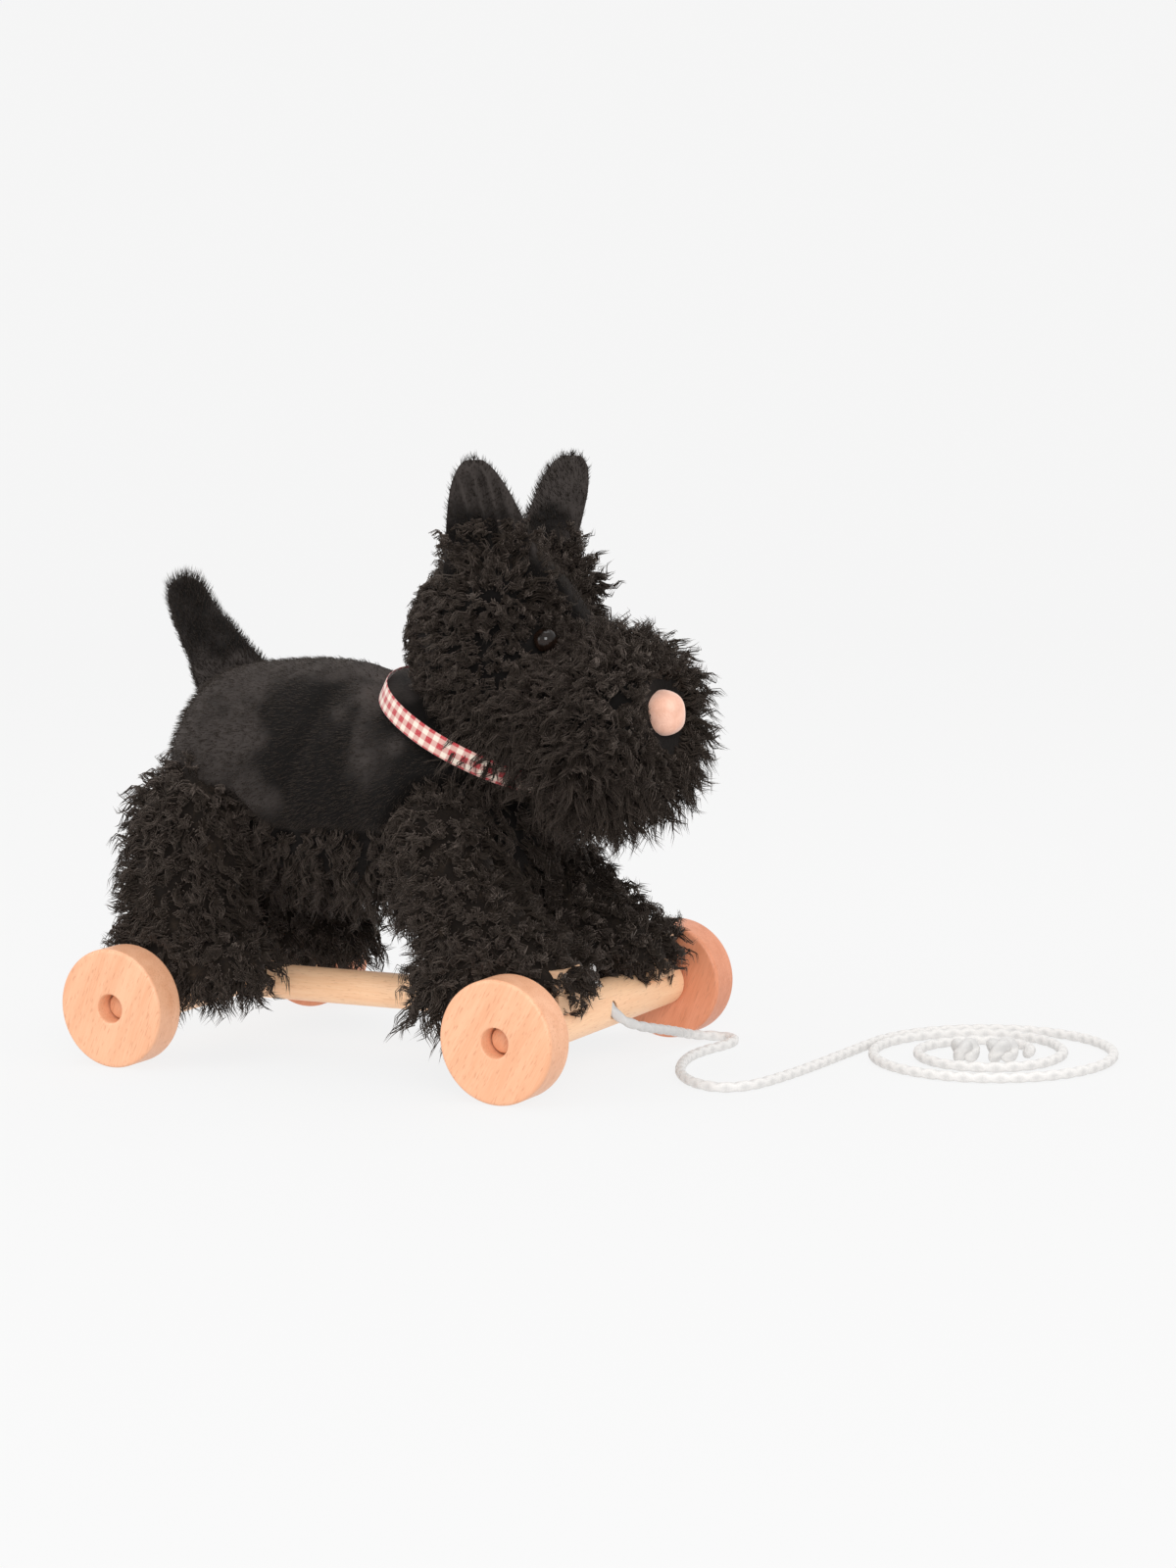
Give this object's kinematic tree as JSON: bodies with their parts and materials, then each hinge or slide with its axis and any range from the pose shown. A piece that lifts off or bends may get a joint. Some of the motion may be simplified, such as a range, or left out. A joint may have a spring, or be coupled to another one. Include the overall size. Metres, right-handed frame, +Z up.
{
  "type": "pull along toy",
  "caption": "Plush terrier standing on a wooden trolley with turned wheels that spin on pegs, and a braided pull cord coiled on the floor.",
  "frame": {"origin": "on the floor under the middle of the toy, its cord left out", "axes": "+X towards the dog's nose, +Y to the dog's left, +Z up"},
  "size_m": [0.409, 0.219, 0.2514],
  "materials": {
    "beech": "turned beech, fine flecks, oiled satin",
    "peg_wood": "turned beech dowel, satin",
    "block_wood": "sawn beech, hidden in the paws",
    "screw_steel": "zinc plated",
    "short_pile": "short smooth pile plush",
    "curly_pile": "long curly pile plush",
    "stuffing": "polyester filling",
    "nose_felt": "soft felted wool",
    "eye_bead": "polished near-black",
    "washer_plastic": "moulded",
    "gingham": "woven red and white check ribbon",
    "cotton_cord": "braided cotton"
  },
  "bodies": {
    "toy": {"front_cross_bar": "beech", "rear_cross_bar": "beech", "centre_rail": "beech", "front_left_axle_peg": "peg_wood", "front_right_axle_peg": "peg_wood", "rear_left_axle_peg": "peg_wood", "rear_right_axle_peg": "peg_wood", "front_paw_blocks": "block_wood", "rear_paw_blocks": "block_wood", "paw_screws": "screw_steel", "back_cover": "short_pile", "tail": "short_pile", "left_ear": "short_pile", "right_ear": "short_pile", "head_gusset": "short_pile", "belly_cover": "curly_pile", "head_cover": "curly_pile", "muzzle_cover": "curly_pile", "front_left_leg": "curly_pile", "front_right_leg": "curly_pile", "rear_left_leg": "curly_pile", "rear_right_leg": "curly_pile", "torso_stuffing": "stuffing", "head_stuffing": "stuffing", "nose": "nose_felt", "left_eye": "eye_bead", "right_eye": "eye_bead", "eye_washers": "washer_plastic", "collar_ribbon": "gingham", "pull_cord": "cotton_cord", "cord_coil": "cotton_cord", "cord_stopper_knot": "cotton_cord", "cord_end_knot": "cotton_cord"},
    "front_left_wheel": {"front_left_wheel": "beech"},
    "front_right_wheel": {"front_right_wheel": "beech"},
    "rear_left_wheel": {"rear_left_wheel": "beech"},
    "rear_right_wheel": {"rear_right_wheel": "beech"}
  },
  "joints": [
    {"name": "front_left_wheel_spin", "type": "hinge", "parent": "toy", "child": "front_left_wheel", "pos_m": [0.08, 0.074, 0.025], "axis": [0, 1, 0], "continuous": true},
    {"name": "front_right_wheel_spin", "type": "hinge", "parent": "toy", "child": "front_right_wheel", "pos_m": [0.08, -0.074, 0.025], "axis": [0, 1, 0], "continuous": true},
    {"name": "rear_left_wheel_spin", "type": "hinge", "parent": "toy", "child": "rear_left_wheel", "pos_m": [-0.104, 0.074, 0.025], "axis": [0, 1, 0], "continuous": true},
    {"name": "rear_right_wheel_spin", "type": "hinge", "parent": "toy", "child": "rear_right_wheel", "pos_m": [-0.104, -0.074, 0.025], "axis": [0, 1, 0], "continuous": true}
  ]
}
